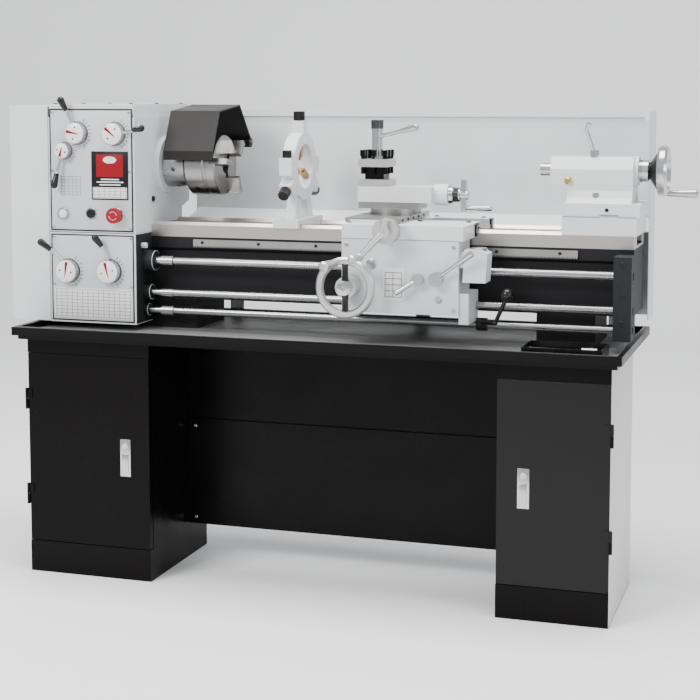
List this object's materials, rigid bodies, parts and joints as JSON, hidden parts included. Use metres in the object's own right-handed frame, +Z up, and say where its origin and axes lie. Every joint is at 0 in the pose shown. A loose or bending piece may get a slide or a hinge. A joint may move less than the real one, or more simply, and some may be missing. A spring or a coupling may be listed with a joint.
{
  "type": "metal lathe",
  "caption": "Engine lathe on a two-cabinet stand: geared headstock with jaw chuck, carriage with cross and compound slides, tailstock, steady rest and splash guard.",
  "frame": {"origin": "on the floor under the middle of the whole machine", "axes": "+X along the bed from headstock to tailstock, +Y away from the operator, +Z up"},
  "size_m": [1.7685, 0.636, 1.2389],
  "materials": {
    "belt_rubber": "matte",
    "black_plastic": "gloss",
    "black_steel": "satin",
    "bright_steel": "polished",
    "bronze": "satin",
    "cabinet_black": "satin",
    "casting_dark": "matte",
    "guard_grey": "satin",
    "paint_white": "satin",
    "red_plastic": "gloss",
    "sheet_black": "satin",
    "steel": "brushed"
  },
  "bodies": {
    "frame": {"guard_pivot": "steel", "left_cabinet": "cabinet_black", "right_cabinet": "cabinet_black", "stand_panel": "cabinet_black", "chip_tray": "sheet_black", "bed": "casting_dark", "bed_rack": "steel", "headstock": "paint_white", "feed_gearbox": "paint_white", "splash_guard": "paint_white", "rod_end_bracket": "casting_dark", "drive_motor": "paint_white", "accessory_tray": "black_plastic", "drive_belt": "belt_rubber", "steady_frame": "paint_white"},
    "spindle": {"spindle": "steel", "chuck_body": "bright_steel", "spindle_gear": "steel", "spindle_pulley": "black_steel"},
    "carriage": {"saddle": "paint_white", "apron": "paint_white"},
    "apron_handwheel": {"apron_handwheel": "bright_steel"},
    "chuck_guard": {"chuck_guard": "guard_grey"},
    "chuck_jaw_1": {"chuck_jaw_1": "bright_steel"},
    "chuck_jaw_2": {"chuck_jaw_2": "bright_steel"},
    "chuck_jaw_3": {"chuck_jaw_3": "bright_steel"},
    "compound_base": {"compound_base": "steel"},
    "compound_crank": {"compound_crank": "bright_steel"},
    "compound_slide": {"compound_slide": "steel"},
    "control_lever": {"control_lever": "black_plastic"},
    "control_rod": {"control_rod": "bright_steel"},
    "cross_crank": {"cross_crank": "bright_steel"},
    "cross_slide": {"cross_slide": "steel"},
    "direction_lever": {"direction_lever": "bright_steel"},
    "estop_button": {"estop_button": "red_plastic"},
    "feed_lever_left": {"feed_lever_left": "bright_steel"},
    "feed_lever_right": {"feed_lever_right": "bright_steel"},
    "feed_rod": {"feed_rod": "bright_steel"},
    "feed_select_lever": {"feed_select_lever": "bright_steel"},
    "gear_cover": {"gear_cover": "paint_white"},
    "half_nut_lever": {"half_nut_lever": "bright_steel"},
    "idler_gear": {"idler_gear": "steel"},
    "input_gear": {"input_gear": "steel"},
    "jog_button": {"jog_button": "black_plastic"},
    "leadscrew": {"leadscrew": "bright_steel"},
    "left_door": {"left_door": "cabinet_black"},
    "motor_pulley": {"motor_pulley": "black_steel"},
    "quill_lock_lever": {"quill_lock_lever": "bright_steel"},
    "right_door": {"right_door": "cabinet_black"},
    "speed_lever_left": {"speed_lever_left": "bright_steel"},
    "speed_lever_right": {"speed_lever_right": "bright_steel"},
    "steady_finger_front": {"steady_finger_front": "bronze"},
    "steady_finger_rear": {"steady_finger_rear": "bronze"},
    "steady_finger_top": {"steady_finger_top": "bronze"},
    "steady_top": {"steady_top": "paint_white"},
    "tailstock": {"tailstock": "paint_white"},
    "tailstock_handwheel": {"tailstock_handwheel": "bright_steel"},
    "tailstock_quill": {"tailstock_quill": "bright_steel"},
    "tool_post": {"tool_post": "black_steel"},
    "tool_post_lever": {"tool_post_lever": "bright_steel"}
  },
  "joints": [
    {"name": "left_door_hinge", "type": "hinge", "parent": "frame", "child": "left_door", "pos_m": [-0.799, -0.229, 0.3], "axis": [0, 0, 1], "range_deg": [-110, 0]},
    {"name": "right_door_hinge", "type": "hinge", "parent": "frame", "child": "right_door", "pos_m": [0.723, -0.229, 0.3], "axis": [0, 0, 1], "range_deg": [0, 110]},
    {"name": "gear_cover_hinge", "type": "hinge", "parent": "frame", "child": "gear_cover", "pos_m": [-0.777, 0.262, 0.9], "axis": [0, 0, 1], "range_deg": [-100, 0]},
    {"name": "chuck_guard_hinge", "type": "hinge", "parent": "frame", "child": "chuck_guard", "pos_m": [-0.42, 0.235, 1.115], "axis": [1, 0, 0], "range_deg": [-45, 0]},
    {"name": "spindle_spin", "type": "hinge", "parent": "frame", "child": "spindle", "pos_m": [-0.48, 0.06, 1.06], "axis": [1, 0, 0], "continuous": true},
    {"name": "jaw_1_slide", "type": "slide", "parent": "spindle", "child": "chuck_jaw_1", "axis": [0, 0.6428, 0.766], "range_m": [-0.012, 0.002]},
    {"name": "jaw_2_slide", "type": "slide", "parent": "spindle", "child": "chuck_jaw_2", "axis": [0, -0.9848, 0.1736], "range_m": [-0.012, 0.002]},
    {"name": "jaw_3_slide", "type": "slide", "parent": "spindle", "child": "chuck_jaw_3", "axis": [0, 0.342, -0.9397], "range_m": [-0.012, 0.002]},
    {"name": "motor_pulley_spin", "type": "hinge", "parent": "frame", "child": "motor_pulley", "pos_m": [-0.84, 0.215, 0.78], "axis": [1, 0, 0], "continuous": true},
    {"name": "idler_gear_spin", "type": "hinge", "parent": "frame", "child": "idler_gear", "pos_m": [-0.802, -0.00543, 0.94077], "axis": [1, 0, 0], "continuous": true},
    {"name": "input_gear_spin", "type": "hinge", "parent": "frame", "child": "input_gear", "pos_m": [-0.802, -0.07567, 0.81278], "axis": [1, 0, 0], "continuous": true},
    {"name": "speed_lever_left_turn", "type": "hinge", "parent": "frame", "child": "speed_lever_left", "pos_m": [-0.689, -0.133, 1.147], "axis": [0, 1, 0], "range_deg": [-35, 35]},
    {"name": "speed_lever_right_turn", "type": "hinge", "parent": "frame", "child": "speed_lever_right", "pos_m": [-0.582, -0.133, 1.146], "axis": [0, 1, 0], "range_deg": [-35, 35]},
    {"name": "direction_lever_turn", "type": "hinge", "parent": "frame", "child": "direction_lever", "pos_m": [-0.727, -0.133, 1.101], "axis": [0, 1, 0], "range_deg": [-25, 25]},
    {"name": "feed_lever_left_turn", "type": "hinge", "parent": "frame", "child": "feed_lever_left", "pos_m": [-0.72, -0.133, 0.786], "axis": [0, 1, 0], "range_deg": [-35, 35]},
    {"name": "feed_lever_right_turn", "type": "hinge", "parent": "frame", "child": "feed_lever_right", "pos_m": [-0.6, -0.133, 0.788], "axis": [0, 1, 0], "range_deg": [-35, 35]},
    {"name": "estop_press", "type": "slide", "parent": "frame", "child": "estop_button", "axis": [0, 1, 0], "range_m": [0, 0.006], "stiffness_N_per_m": 400},
    {"name": "jog_press", "type": "slide", "parent": "frame", "child": "jog_button", "axis": [0, 1, 0], "range_m": [0, 0.0015], "stiffness_N_per_m": 400},
    {"name": "leadscrew_spin", "type": "hinge", "parent": "frame", "child": "leadscrew", "pos_m": [0, -0.075, 0.814], "axis": [1, 0, 0], "continuous": true},
    {"name": "feed_rod_spin", "type": "hinge", "parent": "frame", "child": "feed_rod", "pos_m": [0, -0.075, 0.731], "axis": [1, 0, 0], "continuous": true},
    {"name": "apron_handwheel_turn", "type": "hinge", "parent": "carriage", "child": "apron_handwheel", "pos_m": [0.069, -0.215, 0.779], "axis": [0, 1, 0], "range_deg": [-2165, 2525]},
    {"name": "carriage_slide", "type": "slide", "parent": "frame", "child": "carriage", "axis": [1, 0, 0], "range_m": [-0.12, 0.14]},
    {"name": "half_nut_turn", "type": "hinge", "parent": "carriage", "child": "half_nut_lever", "pos_m": [0.286, -0.165, 0.803], "axis": [0, 1, 0], "range_deg": [-20, 20]},
    {"name": "feed_select_turn", "type": "hinge", "parent": "carriage", "child": "feed_select_lever", "pos_m": [0.24, -0.165, 0.8], "axis": [0, 1, 0], "range_deg": [-20, 20]},
    {"name": "control_lever_turn", "type": "hinge", "parent": "carriage", "child": "control_lever", "pos_m": [0.378, -0.075, 0.684], "axis": [1, 0, 0], "range_deg": [-15, 15]},
    {"name": "control_rod_turn", "type": "hinge", "parent": "frame", "child": "control_rod", "pos_m": [0, -0.075, 0.684], "axis": [1, 0, 0], "range_deg": [-15, 15]},
    {"name": "cross_crank_turn", "type": "hinge", "parent": "carriage", "child": "cross_crank", "pos_m": [0.17, -0.233, 0.919], "axis": [0, 1, 0], "range_deg": [-2885, 2885]},
    {"name": "cross_slide_travel", "type": "slide", "parent": "carriage", "child": "cross_slide", "axis": [0, 1, 0], "range_m": [-0.04, 0.04]},
    {"name": "compound_swivel", "type": "hinge", "parent": "cross_slide", "child": "compound_base", "pos_m": [0.123, 0.04, 0.95], "axis": [0, 0, 1], "range_deg": [-30, 30]},
    {"name": "compound_slide_travel", "type": "slide", "parent": "compound_base", "child": "compound_slide", "axis": [1, 0, 0], "range_m": [-0.03, 0.03]},
    {"name": "compound_crank_turn", "type": "hinge", "parent": "compound_slide", "child": "compound_crank", "pos_m": [0.3, 0.04, 0.994], "axis": [1, 0, 0], "range_deg": [-2165, 2165]},
    {"name": "tool_post_turn", "type": "hinge", "parent": "compound_slide", "child": "tool_post", "pos_m": [0.0735, 0.039, 1.05], "axis": [0, 0, 1], "continuous": true},
    {"name": "tool_post_lever_turn", "type": "hinge", "parent": "compound_slide", "child": "tool_post_lever", "pos_m": [0.0735, 0.039, 1.12], "axis": [0, 0, 1], "range_deg": [-60, 60]},
    {"name": "tailstock_slide", "type": "slide", "parent": "frame", "child": "tailstock", "axis": [1, 0, 0], "range_m": [-0.08, 0]},
    {"name": "tailstock_handwheel_turn", "type": "hinge", "parent": "tailstock", "child": "tailstock_handwheel", "pos_m": [0.77, 0.06, 1.06], "axis": [1, 0, 0], "range_deg": [0, 5400]},
    {"name": "quill_travel", "type": "slide", "parent": "tailstock", "child": "tailstock_quill", "axis": [1, 0, 0], "range_m": [-0.06, 0]},
    {"name": "quill_lock_turn", "type": "hinge", "parent": "tailstock", "child": "quill_lock_lever", "pos_m": [0.63, 0.04, 1.1], "axis": [0, 0, 1], "range_deg": [-30, 60]},
    {"name": "finger_front_slide", "type": "slide", "parent": "frame", "child": "steady_finger_front", "axis": [0, -0.866, -0.5], "range_m": [0, 0.02]},
    {"name": "finger_rear_slide", "type": "slide", "parent": "frame", "child": "steady_finger_rear", "axis": [0, 0.866, -0.5], "range_m": [0, 0.02]},
    {"name": "steady_top_hinge", "type": "hinge", "parent": "frame", "child": "steady_top", "pos_m": [-0.146, 0.166, 1.07], "axis": [1, 0, 0], "range_deg": [-60, 0]},
    {"name": "finger_top_slide", "type": "slide", "parent": "steady_top", "child": "steady_finger_top", "axis": [0, 0, 1], "range_m": [0, 0.02]}
  ],
  "couplings": [
    {"joint": "jaw_2_slide", "follows": "jaw_1_slide", "ratio": 1},
    {"joint": "jaw_3_slide", "follows": "jaw_1_slide", "ratio": 1},
    {"joint": "motor_pulley_spin", "follows": "spindle_spin", "ratio": 1.9375},
    {"joint": "idler_gear_spin", "follows": "spindle_spin", "ratio": -0.41667},
    {"joint": "input_gear_spin", "follows": "spindle_spin", "ratio": 0.8},
    {"joint": "control_rod_turn", "follows": "control_lever_turn", "ratio": 1},
    {"joint": "apron_handwheel_turn", "follows": "carriage_slide", "rad_per_m": 314.16},
    {"joint": "cross_crank_turn", "follows": "cross_slide_travel", "rad_per_m": 1256.6},
    {"joint": "compound_crank_turn", "follows": "compound_slide_travel", "rad_per_m": 1256.6},
    {"joint": "quill_travel", "follows": "tailstock_handwheel_turn", "m_per_rad": -0.000636}
  ]
}
